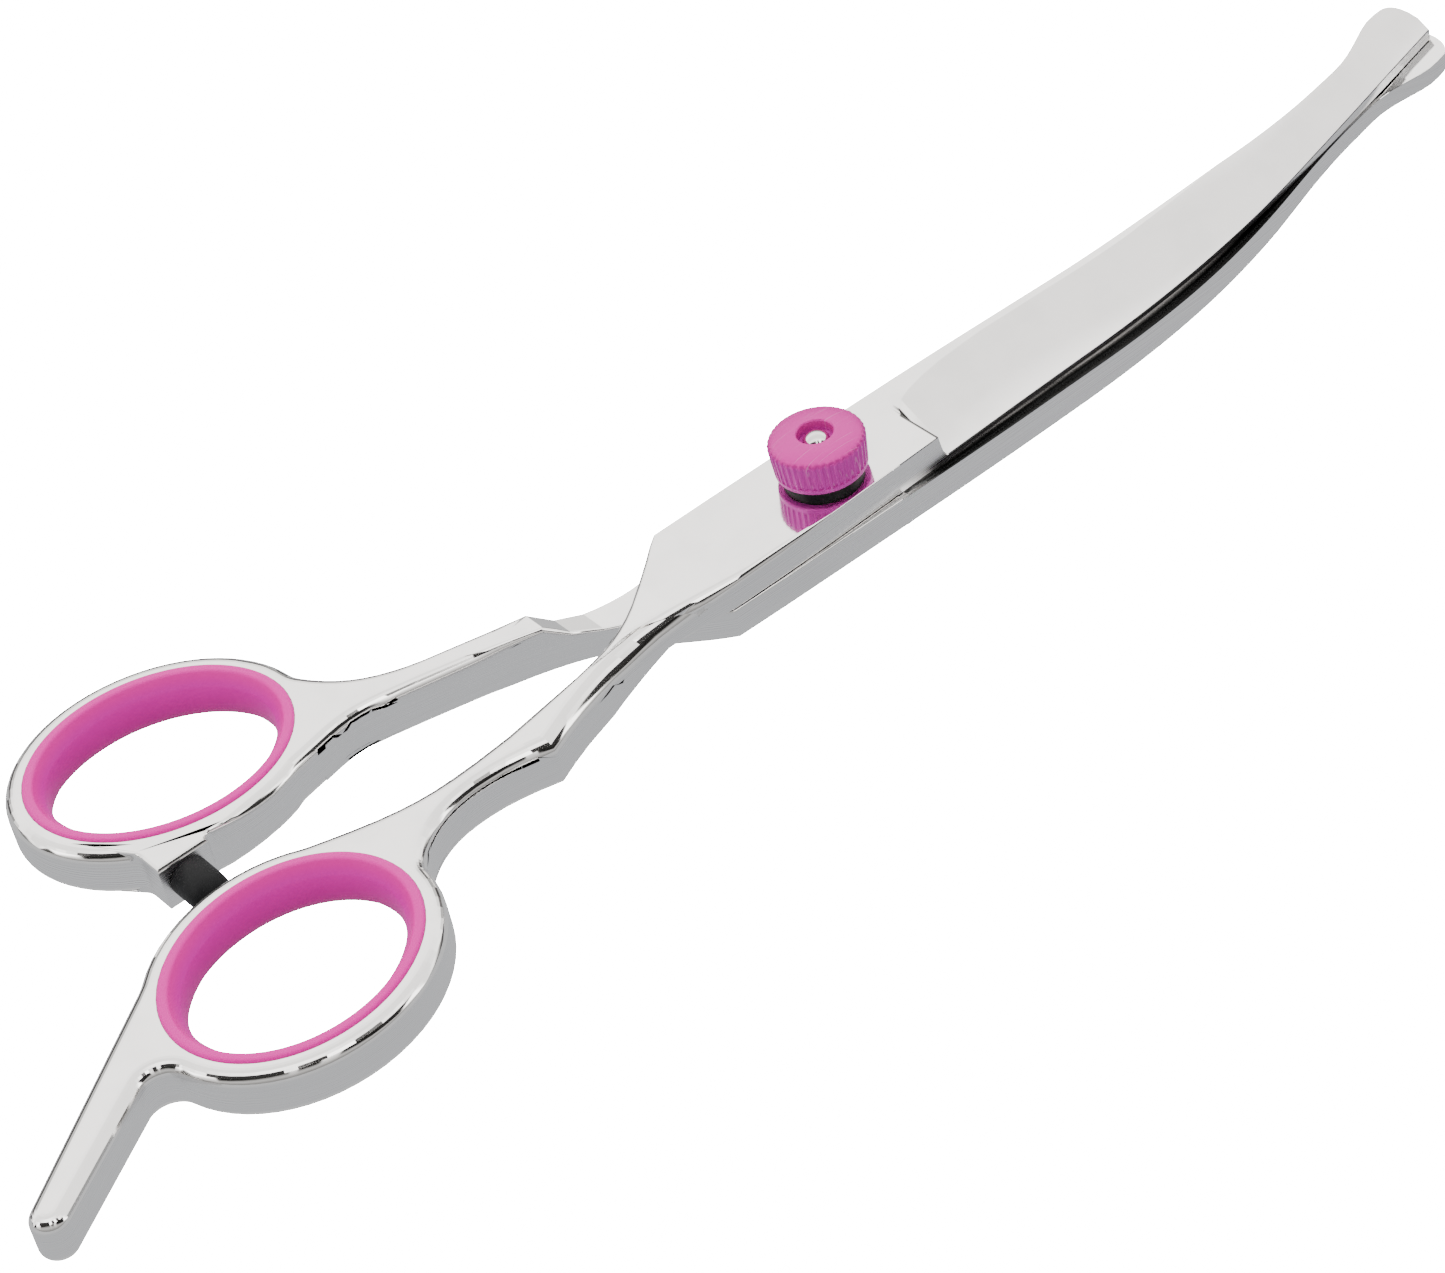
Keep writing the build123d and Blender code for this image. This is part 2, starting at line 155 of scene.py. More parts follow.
inner_reach = 3.0
hollow_fade = [(1.0, 0.0), (9.0, 1.0), (76.0, 1.0), (84.0, 0.0)]

# Painted reflection, put into the steel's colour: a black band along the spine side of the blades' hollows,
# and a darkened line along the shoulder's lip.
painted_band_reach = 2.4                # width of the painted black reflection band on the hollow, from its spine side
painted_band_gain = 1.7                 # over 1, the painted band is fully black before its edge is reached
painted_band_fade = [(5.9, 0.0), (10.5, 1.0), (72.0, 1.0), (81.0, 0.0)]
painted_lip_from = 11.25                # the painted black reflection line along the shoulder's lip
painted_lip_to = 12.15
painted_lip_darkness = 0.92

# ---------------------------------------------------------------- polished handle edges
crisp = 0.12
widest_rounding = 2.4
rounding_segments = 8
finger_upper_from = 4.0         # an edge is an upper one above this height
finger_near_side = [(-60, -7.5), (-44, -6.5), (-30, -4.0), (-18, -1.0)]         # and a near one under this y
finger_near_edge = [(-112, 1.5), (-64, 1.4), (-52, 1.5), (-43, 1.9), (-34, 2.4), (-26, 2.2), (-18, 1.2),
                    (-9, crisp)]
finger_far_edge = [(-64, 1.4), (-44, 1.2), (-30, 0.8), (-20, 0.3), (-17, crisp)]
finger_lower_edge = [(-64, 1.3), (-44, 0.9), (-28, 0.3), (-17, crisp)]
thumb_upper_from = 2.8
thumb_upper_edge = [(-56, 1.4), (-46, 1.2), (-36, 0.6), (-30, 0.3), (-18, crisp)]
thumb_lower_edge = [(-56, 1.3), (-46, 0.7), (-40, 0.2), (-20, crisp)]
boss_run = (-88, -68)           # the bumper's boss lies between these x, and under this y
boss_side = 10.5
boss_edge = [(-88, 1.3), (-84, 0.4), (-72, 0.4), (-68, 1.3)]
ramp_run = (-52, -12)           # edges across the shank stay sharp here
pivot_clear = 4.8               # so do edges nearer the pivot than this
ring_margin = 0.3               # and those this near a lining's outside
merge_within = 0.04
cut_within = 0.001
flat_within = 0.2               # degrees, as are the next two
smooth_below = 22
rounded_above = 32
steep = 0.8                     # share of an edge's direction that counts as along an axis
shading_weight = 60

# ---------------------------------------------------------------- colours
polished_steel = (0.93, 0.915, 0.90, 1)
smeared_steel = (0.88, 0.868, 0.855, 1)
brushed_steel_low = (0.70, 0.70, 0.71, 1)
brushed_steel_high = (0.86, 0.86, 0.865, 1)
# black of the painted reflection on the blades' hollows
painted_reflection_black = (0.003, 0.003, 0.003, 1)
silicone_deep = (0.68, 0.008, 0.38, 1)
silicone_cloud = (0.78, 0.012, 0.46, 1)
# painted highlight: the linings' upper rim is coloured brighter
silicone_painted_highlight = (0.86, 0.008, 0.40, 1)
# painted light: one dye, coloured apart on the dial's side and its top
dye_painted_light_side = (0.60, 0.040, 0.42, 1)
dye_painted_light_top = (0.66, 0.022, 0.34, 1)
dye_worn = (0.90, 0.42, 0.68, 1)
paper = (0.5, 0.5, 0.5, 1)
pure_white = (1, 1, 1, 1)
warm_white = (1.0, 0.985, 0.965)

# ---------------------------------------------------------------- studio, in metres
camera_place = (-0.198530, -0.311888, 0.295622)
camera_turn = (49.488214, 10.248226, -38.928571)        # degrees
camera_lens = 112.11
camera_sensor = 36.0
floor_width = 6.0
floor_drop = 0.0003
floor_white = 30.0              # what the camera sees of the floor and the backdrop
floor_mirrored = 0.74           # what the steel mirrors of the floor
sweep_brightness = 5.0
soft_fill = 0.75
far_side = (0.504, 0.864, 0.0)
right_side = (0.864, -0.504, 0.0)
flag_spacing = 3.2              # the flags stand side by side, with gaps where this noise is low
flag_shift = 2.3
flag_edge = (0.34, 0.40)
# (degrees, brightness), from the far horizon at 0, over the top, to the near horizon at 180
sweep_stops = [(0, 0.01), (12, 0.03), (24, 0.22), (32, 0.50), (42, 0.58), (50, 0.54), (60, 0.42), (84, 0.41),
               (98, 0.60), (106, 1.0), (134, 1.0), (143, 0.40), (152, 0.22), (166, 0.12), (180, 0.05)]
flag_stops = [(0, 1.0), (101, 1.0), (109, 0.01), (148, 0.006), (156, 0.8), (180, 1.0)]


# ---------------------------------------------------------------- modelling helpers
def select_only(piece):
    """This piece selected and active, and nothing else."""
    bpy.ops.object.select_all(action="DESELECT")
    piece.select_set(True)
    bpy.context.view_layer.objects.active = piece


def start_edit(piece):
    """Only this piece selected, and in edit mode."""
    select_only(piece)
    bpy.ops.object.mode_set(mode="EDIT")


def end_edit():
    bpy.ops.object.mode_set(mode="OBJECT")


def apply_all(piece):
    """Bakes every modifier into the mesh, in order."""
    bpy.context.view_layer.objects.active = piece
    for modifier in list(piece.modifiers):
        bpy.ops.object.modifier_apply(modifier=modifier.name)


def value_at(x, stops):
    """Value at x on straight lines between (x, value) stops, and level beyond the first and the last."""
    if x <= stops[0][0]:
        return stops[0][1]
    for (x0, v0), (x1, v1) in zip(stops, stops[1:]):
        if x <= x1:
            return v0 + (v1 - v0) * (x - x0) / (x1 - x0)
    return stops[-1][1]


def between(start, end, steps):
    """Evenly spaced values from start to end, with both."""
    return [start + (end - start) * i / steps for i in range(steps + 1)]


def arc(centre, radius, start, end, steps):
    """Points (across, height) on an arc, from one angle in degrees to another."""
    turns = [math.radians(t) for t in between(start, end, steps)]
    return [(centre[0] + radius * math.cos(t), centre[1] + radius * math.sin(t)) for t in turns]


def loops(name, outline, around, closed):
    """A skin of level loops.  Each item of outline is (half length, half width, height) in millimetres.
    A closed skin has its last loop bridged to its first.  Any other has a flat face at both ends."""
    bpy.ops.object.select_all(action="DESELECT")
    first = outline[0]
    bpy.ops.mesh.primitive_circle_add(vertices=around, radius=MM, location=(0, 0, 0))
    piece = bpy.context.active_object
    piece.name = name
    start_edit(piece)
    bpy.ops.mesh.select_all(action="SELECT")
    bpy.ops.transform.resize(value=(first[0], first[1], 1), center_override=(0, 0, 0))
    bpy.ops.transform.translate(value=(0, 0, first[2] * MM))
    if not closed:
        bpy.ops.mesh.edge_face_add()
    for last, this in zip(outline, outline[1:]):
        bpy.ops.mesh.extrude_edges_move()
        wider = (this[0] / last[0], this[1] / last[1], 1)
        bpy.ops.transform.resize(value=wider, center_override=(0, 0, 0))
        bpy.ops.transform.translate(value=(0, 0, (this[2] - last[2]) * MM))
    if closed:
        bpy.ops.mesh.select_all(action="DESELECT")
        bpy.ops.mesh.select_mode(type="EDGE")
        bpy.ops.mesh.select_non_manifold()
        bpy.ops.mesh.bridge_edge_loops()
    else:
        bpy.ops.mesh.edge_face_add()
    bpy.ops.mesh.select_all(action="SELECT")
    bpy.ops.mesh.normals_make_consistent(inside=False)
    end_edit()
    return piece


def turned(name, outline, around, closed=False):
    """A lathe piece from (radius, height) points."""
    return loops(name, [(r, r, z) for r, z in outline], around, closed)


def place(piece, at, turns):
    """Turns and moves the mesh, and leaves the object at the origin."""
    piece.location = at
    piece.rotation_euler = [math.radians(t) for t in turns]
    select_only(piece)
    bpy.ops.object.transform_apply(location=True, rotation=True, scale=True)


def smooth(piece, angle):
    """Soft shading across edges that turn less than this many degrees."""
    select_only(piece)
    bpy.ops.object.shade_smooth_by_angle(angle=math.radians(angle))


def middle(node):
    """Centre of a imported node, in metres."""
    low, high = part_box(node)
    return (Vector(low) + Vector(high)) / 2


# ---------------------------------------------------------------- shader helpers
def add(tree, kind, settings=None, **values):
    """A shader node with its settings, and its sockets linked or set, by name or as i0, i1 by number."""
    made = tree.nodes.new(kind)
    for key, value in (settings or {}).items():
        setattr(made, key, value)
    for key, value in values.items():
        index = int(key[1:]) if key[0] == "i" and key[1:].isdigit() else key.replace("_", " ")
        link_or_set(tree, made.inputs[index], value)
    return made


def link_or_set(tree, socket, value):
    if isinstance(value, bpy.types.NodeSocket):
        tree.links.new(value, socket)
    else:
        socket.default_value = value


def feed(tree, shader, **sources):
    """Links or sets a shader's sockets, named with underscores for spaces."""
    for label, source in sources.items():
        link_or_set(tree, shader.inputs[label.replace("_", " ")], source)


def calc(tree, operation, first, second=0.0):
    """One sum on one or two values."""
    return add(tree, "ShaderNodeMath", {"operation": operation}, i0=first, i1=second).outputs[0]


def mix(tree, share, first, second):
    """From the first colour to the second."""
    made = add(tree, "ShaderNodeMix", {"data_type": "RGBA"}, i0=share, i6=first, i7=second)
    return made.outputs[2]


def blend(tree, share, first, second):
    """From the first value to the second."""
    return add(tree, "ShaderNodeMix", {"data_type": "FLOAT"}, i0=share, i2=first, i3=second).outputs[0]


def ramp(tree, value, low, high, to_low=0.0, to_high=1.0):
    """A soft step between two levels of a value."""
    made = add(tree, "ShaderNodeMapRange", {"interpolation_type": "SMOOTHSTEP"}, i0=value, i1=low, i2=high,
               i3=to_low, i4=to_high)
    return made.outputs[0]


def stops_ramp(tree, value, stops):
    """Brightness along a ramp of (degrees, value) stops, from 0 to 180 degrees."""
    made = add(tree, "ShaderNodeValToRGB", i0=value)
    points = made.color_ramp.elements
    while len(points) < len(stops):
        points.new(0.5)
    for point, (degrees, level) in zip(points, stops):
        point.position = degrees / 180
        point.color = (level, level, level, 1)
    return made.outputs[0]


def object_place(tree):
    return add(tree, "ShaderNodeTexCoord").outputs["Object"]


def noise(tree, where, scale, detail, roughness=0.5):
    """Cloudy noise from 0 to 1."""
    made = add(tree, "ShaderNodeTexNoise", i0=where, Scale=scale, Detail=detail, Roughness=roughness)
    return made.outputs[0]


def noise_along(tree, distance, detail):
    """Noise that changes along one distance only."""
    settings = {"noise_dimensions": "1D"}
    return add(tree, "ShaderNodeTexNoise", settings, W=distance, Scale=1.0, Detail=detail).outputs[0]


def axis_distance(tree, parts):
    """Distance from the pivot axis, from the three parts of a place."""
    flat = add(tree, "ShaderNodeCombineXYZ", i0=parts.outputs[0], i1=parts.outputs[1], i2=0.0).outputs[0]
    return add(tree, "ShaderNodeVectorMath", {"operation": "LENGTH"}, i0=flat).outputs["Value"]


def new_group(name, inputs, outputs):
    """A node group, with the sockets that it is given and those that it puts out."""
    group = bpy.data.node_groups.new(name, "ShaderNodeTree")
    for label, value in inputs:
        socket = group.interface.new_socket(name=label, in_out="INPUT", socket_type="NodeSocketFloat")
        socket.default_value = value
    for label in outputs:
        group.interface.new_socket(name=label, in_out="OUTPUT", socket_type="NodeSocketFloat")
    return group, group.nodes.new("NodeGroupInput").outputs, group.nodes.new("NodeGroupOutput").inputs


def brushing_group():
    """Fine lines that run level round a wall."""
    group, given, out = new_group("level_brushing", [("Fineness", 9000.0), ("Length", 60.0)], ["Lines"])
    scale = add(group, "ShaderNodeCombineXYZ", i0=given["Length"], i1=given["Length"], i2=given["Fineness"])
    stretched = add(group, "ShaderNodeVectorMath", {"operation": "MULTIPLY"}, i0=object_place(group),
                    i1=scale.outputs[0])
    group.links.new(noise(group, stretched.outputs[0], 1.0, 4.0, 0.65), out["Lines"])
    return group


def wear_group():
    """Hairline scratches and handling smears, as two masks from 0 to 1."""
    group, given, out = new_group("handling_wear", [("Size", 1.0)], ["Scratches", "Smears"])
    sized = add(group, "ShaderNodeVectorMath", {"operation": "SCALE"}, i0=object_place(group),
                Scale=given["Size"]).outputs[0]
    scratches = None
    for turn, shift in ((0.5, 0.0), (-0.9, 3.0), (2.2, 7.0)):
        stretched = add(group, "ShaderNodeMapping", i0=sized, Location=(shift, shift, 0),
                        Rotation=(0, 0, turn), Scale=(70.0, 5200.0, 70.0)).outputs[0]
        lines = ramp(group, noise(group, stretched, 1.0, 1.0), 0.70, 0.76)
        scratches = lines if scratches is None else calc(group, "MAXIMUM", scratches, lines)
    group.links.new(scratches, out["Scratches"])
    group.links.new(ramp(group, noise(group, sized, 160.0, 5.0, 0.62), 0.42, 0.68), out["Smears"])
    return group


def finish_of(name):
    """A new material, with its tree and its Principled shader."""
    material = bpy.data.materials.new(name)
    material.use_nodes = True
    tree = material.node_tree
    return material, tree, tree.nodes["Principled BSDF"]


# ---------------------------------------------------------------- materials
def steel_finish(brushing, wear):
    """Mirror-polished faces, with finely brushed upright walls, and a painted black reflection on the
    blades' hollows.
    """
    material, tree, shader = finish_of("polished_blade_steel")
    normal = add(tree, "ShaderNodeTexCoord").outputs["Normal"]
    upright = add(tree, "ShaderNodeSeparateXYZ", i0=normal).outputs[2]
    wall = ramp(tree, calc(tree, "ABSOLUTE", upright), 0.12, 0.32, 1.0, 0.0)
    lines = add(tree, "ShaderNodeGroup", {"node_tree": brushing}).outputs["Lines"]
    marks = add(tree, "ShaderNodeGroup", {"node_tree": wear}, Size=1.0)
    smears = marks.outputs["Smears"]
    polished = calc(tree, "ADD", calc(tree, "MULTIPLY", smears, 0.025), 0.08)
    polished = calc(tree, "ADD", polished, calc(tree, "MULTIPLY", marks.outputs["Scratches"], 0.05))
    brushed = calc(tree, "ADD", calc(tree, "MULTIPLY", lines, 0.22), 0.17)
    face_colour = mix(tree, smears, polished_steel, smeared_steel)
    wall_colour = mix(tree, lines, brushed_steel_low, brushed_steel_high)
    colour = mix(tree, wall, face_colour, wall_colour)
    # Painted reflection: an attribute written by grind blackens the base colour along the hollow's spine
    # side and the shoulder's lip.
    painted_shade = add(tree, "ShaderNodeAttribute", {"attribute_name": "painted_hollow_shade"}).outputs["Fac"]
    bump = add(tree, "ShaderNodeBump", Strength=0.22, Distance=0.00004,
               Height=calc(tree, "MULTIPLY", lines, wall))
    feed(tree, shader, Base_Color=mix(tree, painted_shade, colour, painted_reflection_black), Metallic=1.0,
         Roughness=blend(tree, wall, polished, brushed), Normal=bump.outputs[0])
    return material


def silicone_finish(wear):
    """Satin moulded silicone, with a painted highlight that makes it brighter along its upper rim."""
    material, tree, shader = finish_of("magenta_silicone")
    height = add(tree, "ShaderNodeSeparateXYZ", i0=object_place(tree)).outputs[2]
    # Painted highlight: the upper rim is coloured brighter than the rest.
    rim = ramp(tree, height, 0.0046, 0.0057)
    deep = mix(tree, noise(tree, object_place(tree), 120.0, 2.0), silicone_deep, silicone_cloud)
    marks = add(tree, "ShaderNodeGroup", {"node_tree": wear}, Size=0.7)
    rough = calc(tree, "ADD", calc(tree, "MULTIPLY", marks.outputs["Smears"], 0.08), 0.44)
    bump = add(tree, "ShaderNodeBump", Strength=0.12, Distance=0.00003,
               Height=noise(tree, object_place(tree), 2600.0, 3.0, 0.55))
    feed(tree, shader, Base_Color=mix(tree, rim, deep, silicone_painted_highlight), Roughness=rough,
         Normal=bump.outputs[0], Specular_IOR_Level=0.22)
    return material


def dial_finish(wear):
    """Dyed anodised aluminium with turning rings on its top, and painted light: the side and the top of one
    dye are coloured apart.
    """
    material, tree, shader = finish_of("pink_anodised_aluminium")
    parts = add(tree, "ShaderNodeSeparateXYZ", i0=object_place(tree))
    rings = noise_along(tree, calc(tree, "MULTIPLY", axis_distance(tree, parts), 9000.0), 3.0)
    # Painted light: the top is coloured redder than the side, though the dye is one.
    top = ramp(tree, parts.outputs[2], 0.01125, 0.01185)
    marks = add(tree, "ShaderNodeGroup", {"node_tree": wear}, Size=2.0)
    worn = calc(tree, "MULTIPLY", marks.outputs["Scratches"], 0.35)
    dye_and_painted_light = mix(tree, top, dye_painted_light_side, dye_painted_light_top)
    rough = calc(tree, "ADD", calc(tree, "MULTIPLY", rings, 0.16), 0.34)
    bump = add(tree, "ShaderNodeBump", Strength=0.18, Distance=0.00002, Height=rings)
    feed(tree, shader, Base_Color=mix(tree, worn, dye_and_painted_light, dye_worn), Metallic=0.25, Roughness=rough,
         Normal=bump.outputs[0], Specular_IOR_Level=0.3)
    return material


def turned_metal(name, colour, dull, rough):
    """Bare metal from a lathe: rings round the pivot axis, and duller patches."""
    material, tree, shader = finish_of(name)
    parts = add(tree, "ShaderNodeSeparateXYZ", i0=object_place(tree))
    outwards = calc(tree, "MULTIPLY", axis_distance(tree, parts), 7000.0)
    upwards = calc(tree, "MULTIPLY", parts.outputs[2], 5000.0)
    rings = noise_along(tree, calc(tree, "ADD", outwards, upwards), 2.0)
    patches = ramp(tree, noise(tree, object_place(tree), 400.0, 4.0), 0.35, 0.7)
    bump = add(tree, "ShaderNodeBump", Strength=0.15, Distance=0.00002, Height=rings)
    feed(tree, shader, Base_Color=mix(tree, patches, colour, dull), Metallic=1.0,
         Roughness=calc(tree, "ADD", calc(tree, "MULTIPLY", rings, 0.12), rough), Normal=bump.outputs[0])
    return material


def moulded(name, colour, lighter, rough, grain_size, bump_strength):
    """Plastic or rubber with a fine moulded grain."""
    material, tree, shader = finish_of(name)
    grain = noise(tree, object_place(tree), grain_size, 4.0)
    cloud = noise(tree, object_place(tree), 300.0, 2.0)
    bump = add(tree, "ShaderNodeBump", Strength=bump_strength, Distance=0.00003, Height=grain)
    feed(tree, shader, Base_Color=mix(tree, cloud, colour, lighter),
         Roughness=calc(tree, "ADD", calc(tree, "MULTIPLY", grain, 0.15), rough), Normal=bump.outputs[0],
         Specular_IOR_Level=0.12)
    return material


def dress(piece, material):
    """One material for the whole piece, in every slot it has."""
    if not piece.data.materials:
        piece.data.materials.append(material)
    for slot in piece.material_slots:
        slot.material = material


def add_piece(piece, body, material, node):
    """A finished piece on its body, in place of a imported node."""
    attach(piece, body)
    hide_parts(node)
    dress(piece, material)


# ---------------------------------------------------------------- steel halves
def finger_rounding(x, y, z):
    """Rounding, in millimetres, of the finger half's edge at a point."""
    if z <= finger_upper_from:
        return value_at(x, finger_lower_edge)
    if y < value_at(x, finger_near_side):
        return value_at(x, finger_near_edge)
    return value_at(x, finger_far_edge)


def thumb_rounding(x, y, z):
    """Rounding, in millimetres, of the thumb half's edge at a point."""
    if boss_run[0] < x < boss_run[1] and y < boss_side:
        return value_at(x, boss_edge)
    if z > thumb_upper_from:
        return value_at(x, thumb_upper_edge)
    return value_at(x, thumb_lower_edge)


def bent(level, bend, x):
    """Height of a bent face at x: level, then an arc, then straight on."""
    start, slope = bend
    if x <= start:
        return level
    radius = (bend_end - start) / math.sin(math.atan(slope))
    if x <= bend_end:
        return level + radius - math.sqrt(radius ** 2 - (x - start) ** 2)
    return level + radius * (1 - math.cos(math.atan(slope))) + slope * (x - bend_end)


def strip_line(x):
    """How far from the centre line the ground face starts, on the spine's side."""
    return min(value_at(x, spine_line) - value_at(x, strip_stops), value_at(x, shoulder_curve))


def ground_height(x, y, facing):
    """Height of a blade's ground outer face, y being measured towards the spine.  Facing is 1 for the finger
    half, and -1 for the thumb half, whose plan and section are both turned over."""
    if facing > 0:
        inner = bent(ricasso_thickness + face_gap, inner_bend, x)
        outer = bent(2 * ricasso_thickness + face_gap, outer_bend, x)
    else:
        inner = bent(ricasso_thickness, inner_bend, x)
        outer = bent(0.0, under_bend, x)
    edge_y = -value_at(x, edge_line)
    edge_z = inner + facing * value_at(x, land_stops)
    share = (y - edge_y) / (strip_line(x) - edge_y)
    sag = grind_sag * (outer - edge_z) / grind_drop * 4 * share * (1 - share)
    ground = edge_z + (outer - edge_z) * share - sag
    ground = min(ground, outer) if facing > 0 else max(ground, outer)
    depth = 1 - (1 - min(1.0, max(0.0, (x - shoulder_at) / shoulder_length))) ** 3
    fall = value_at(x, tip_fall) if facing > 0 else 0.0
    return outer + (ground - outer) * depth - fall


def inner_height(x, y, facing, from_edge):
    """Height of a blade's inner face, hollowed between its edges."""
    level = ricasso_thickness + (face_gap if facing > 0 else 0.0)
    flat = bent(level, inner_bend, math.hypot(x, y))
    share = min(1.0, from_edge / inner_reach)
    return flat + facing * inner_hollow * value_at(x, hollow_fade) * (1 - (1 - share) ** 2)


def crossing(shape, x):
    """Least and greatest y, in millimetres, where a shape's edges cross a distance from the pivot."""
    found = []
    for edge in shape.edges:
        a = edge.verts[0].co / MM
        b = edge.verts[1].co / MM
        if (a.x <= x) != (b.x <= x):
            found.append(a.y + (b.y - a.y) * (x - a.x) / (b.x - a.x))
    return min(found), max(found)


def blade_section(x, limits, facing):
    """Points (y, height, painted darkness) round a blade: ground face, spine, inner face and cutting edge.
    """
    low, high = sorted(y * facing for y in limits)
    strip = min(strip_line(x), high - section_corner - least_strip)
    to_strip = between(low + section_corner, strip, ground_steps)
    to_spine = between(strip, high - section_corner, strip_steps)[1:]
    # Painted reflection: a darkened line along the shoulder's lip, on the ground face.
    lip = painted_lip_darkness if painted_lip_from < x < painted_lip_to else 0.0
    ground = [(y, ground_height(x, y, facing), lip if y < strip else 0.0) for y in to_strip + to_spine]
    inner = []
    for y in between(high - sharp_corner, low + sharp_corner, inner_steps):
        from_edge = min(y - low, high - y) - sharp_corner
        # Painted reflection: a black band along the inner face's spine side, fading in and out along the
        # blade.
        painted_band = painted_band_gain * (1 - ((high - y) / painted_band_reach) ** 2)
        painted_dark = value_at(x, painted_band_fade) * min(1.0, max(0.0, painted_band))
        inner.append((y, inner_height(x, y, facing, from_edge), painted_dark))
    drop = facing * section_corner
    rise = facing * sharp_corner
    spine = [(high, ground[-1][1] - drop, 0.0), (high, inner[0][1] + rise, 0.0)]
    cutting_edge = [(low, inner[-1][1] + rise, 0.0), (low, ground[0][1] - drop, 0.0)]
    return [(y * facing, z, painted_dark) for y, z, painted_dark in ground + spine + inner + cutting_edge]


def round_order(corners):
    """Corners of a section sorted by their angle round its middle, with that angle."""
    ys = [c.co.y for c in corners]
    zs = [c.co.z for c in corners]
    wide = max(ys) - min(ys)
    tall = max(zs) - min(zs)
    found = []
    for c in corners:
        angle = math.atan2((c.co.z - min(zs)) / tall - 0.5, (c.co.y - min(ys)) / wide - 0.5)
        found.append((angle, c))
    return sorted(found, key=lambda item: item[0])


def join_rings(shape, first, second):
    """Triangles between two rings that have different numbers of corners."""
    a = round_order(first)
    b = round_order(second)
    i = 0
    j = 0
    while i < len(a) or j < len(b):
        next_a = a[(i + 1) % len(a)][0] + (2 * math.pi if i + 1 >= len(a) else 0.0)
        next_b = b[(j + 1) % len(b)][0] + (2 * math.pi if j + 1 >= len(b) else 0.0)
        if i < len(a) and (j >= len(b) or next_a <= next_b):
            shape.faces.new((a[i][1], a[(i + 1) % len(a)][1], b[j % len(b)][1]))
            i += 1
        else:
            shape.faces.new((a[i % len(a)][1], b[(j + 1) % len(b)][1], b[j][1]))
            j += 1


def join_alike(shape, first, second):
    """Quads between two rings that have as many corners."""
    for i in range(len(first)):
        following = (i + 1) % len(first)
        shape.faces.new((first[i], first[following], second[following], second[i]))


def grind(piece, facing):
    """Cuts the blade off and builds it again in sections, with its ground and hollow faces, and writes the
    painted reflection's darkness at each corner.
    """
    shape = bmesh.new()
    shape.from_mesh(piece.data)
    # Painted reflection: how far each corner's colour is blackened.
    painted_shade = shape.verts.layers.float.new("painted_hollow_shade")
    stations = []
    for start, end, step in section_runs:
        stations += between(start, end, round((end - start) / step))
    sections = [(x, blade_section(x, crossing(shape, x), facing)) for x in stations]
    everything = list(shape.verts) + list(shape.edges) + list(shape.faces)
    bmesh.ops.bisect_plane(shape, geom=everything, plane_co=(grind_from * MM, 0, 0), plane_no=(1, 0, 0),
                           dist=cut_within * MM, clear_outer=True)
    last = [v for v in shape.verts if v.is_boundary]
    join = join_rings           # the cut end has corners of its own, and all later rings are alike
    for x, outline in sections:
        ring = []
        for y, z, painted_dark in outline:
            corner = shape.verts.new((x * MM, y * MM, z * MM))
            corner[painted_shade] = painted_dark
            ring.append(corner)
        join(shape, last, ring)
        join = join_alike
        last = ring
    shape.faces.new(last)
    bmesh.ops.recalc_face_normals(shape, faces=shape.faces)
    shape.to_mesh(piece.data)
    shape.free()


def clean_copy(name, node):
    """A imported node's mesh in a new piece, merged, and with its flat triangles joined."""
    piece = bpy.data.objects.new(name, bpy.data.objects[node].data.copy())
    bpy.context.scene.collection.objects.link(piece)
    start_edit(piece)
    bpy.ops.mesh.select_all(action="SELECT")
    bpy.ops.mesh.remove_doubles(threshold=merge_within * MM)
    bpy.ops.mesh.dissolve_limited(angle_limit=math.radians(flat_within))
    bpy.ops.mesh.normals_make_consistent(inside=False)
    end_edit()
    return piece


def in_oval(at, centre, turn, half_long, half_short):
    """Whether a point, in millimetres, lies inside a turned oval."""
    t = math.radians(turn)
    dx = at.x - centre.x / MM
    dy = at.y - centre.y / MM
    along = dx * math.cos(t) + dy * math.sin(t)
    across = dy * math.cos(t) - dx * math.sin(t)
    return (along / half_long) ** 2 + (across / half_short) ** 2 < 1


def stays_sharp(edge, at, along, ring):
    """Whether polishing leaves this edge alone."""
    centre, turn = ring
    in_ring = in_oval(at, centre, turn, lining_long + ring_margin, lining_short + ring_margin)
    near_pivot = math.hypot(at.x, at.y) < pivot_clear
    on_blade = max(v.co.x for v in edge.verts) > (grind_from + hair) * MM
    across_ramp = abs(along.y) > steep and ramp_run[0] < at.x < ramp_run[1]
    return in_ring or near_pivot or on_blade or across_ramp or abs(along.z) > steep


def mark_edges(piece, ring, rounding):
    """Writes how widely each of the handle's edges is rounded, as a share of the widest."""
    shape = bmesh.new()
    shape.from_mesh(piece.data)
    weights = shape.edges.layers.float.new("bevel_weight_edge")
    for edge in shape.edges:
        if not edge.is_manifold:
            continue
        angle = math.degrees(edge.calc_face_angle_signed(0.0))
        edge.smooth = abs(angle) < smooth_below
        at = (edge.verts[0].co + edge.verts[1].co) / 2 / MM
        along = (edge.verts[1].co - edge.verts[0].co).normalized()
        if angle >= rounded_above and not stays_sharp(edge, at, along, ring):
            edge[weights] = min(1.0, rounding(at.x, at.y, at.z) / widest_rounding)
    shape.to_mesh(piece.data)
    shape.free()


def blade_half(name, node, ring, facing, rounding):
    """A steel half with its edges rounded by hand polishing, crisp along the blade."""
    piece = clean_copy(name, node)
    grind(piece, facing)
    mark_edges(piece, ring, rounding)
    rounded = piece.modifiers.new("edges", "BEVEL")
    rounded.limit_method = "WEIGHT"
    rounded.width = widest_rounding * MM
    rounded.segments = rounding_segments
    rounded.use_clamp_overlap = False
    apply_all(piece)
    even = piece.modifiers.new("shading", "WEIGHTED_NORMAL")
    even.keep_sharp = True
    even.weight = shading_weight
    apply_all(piece)
    return piece


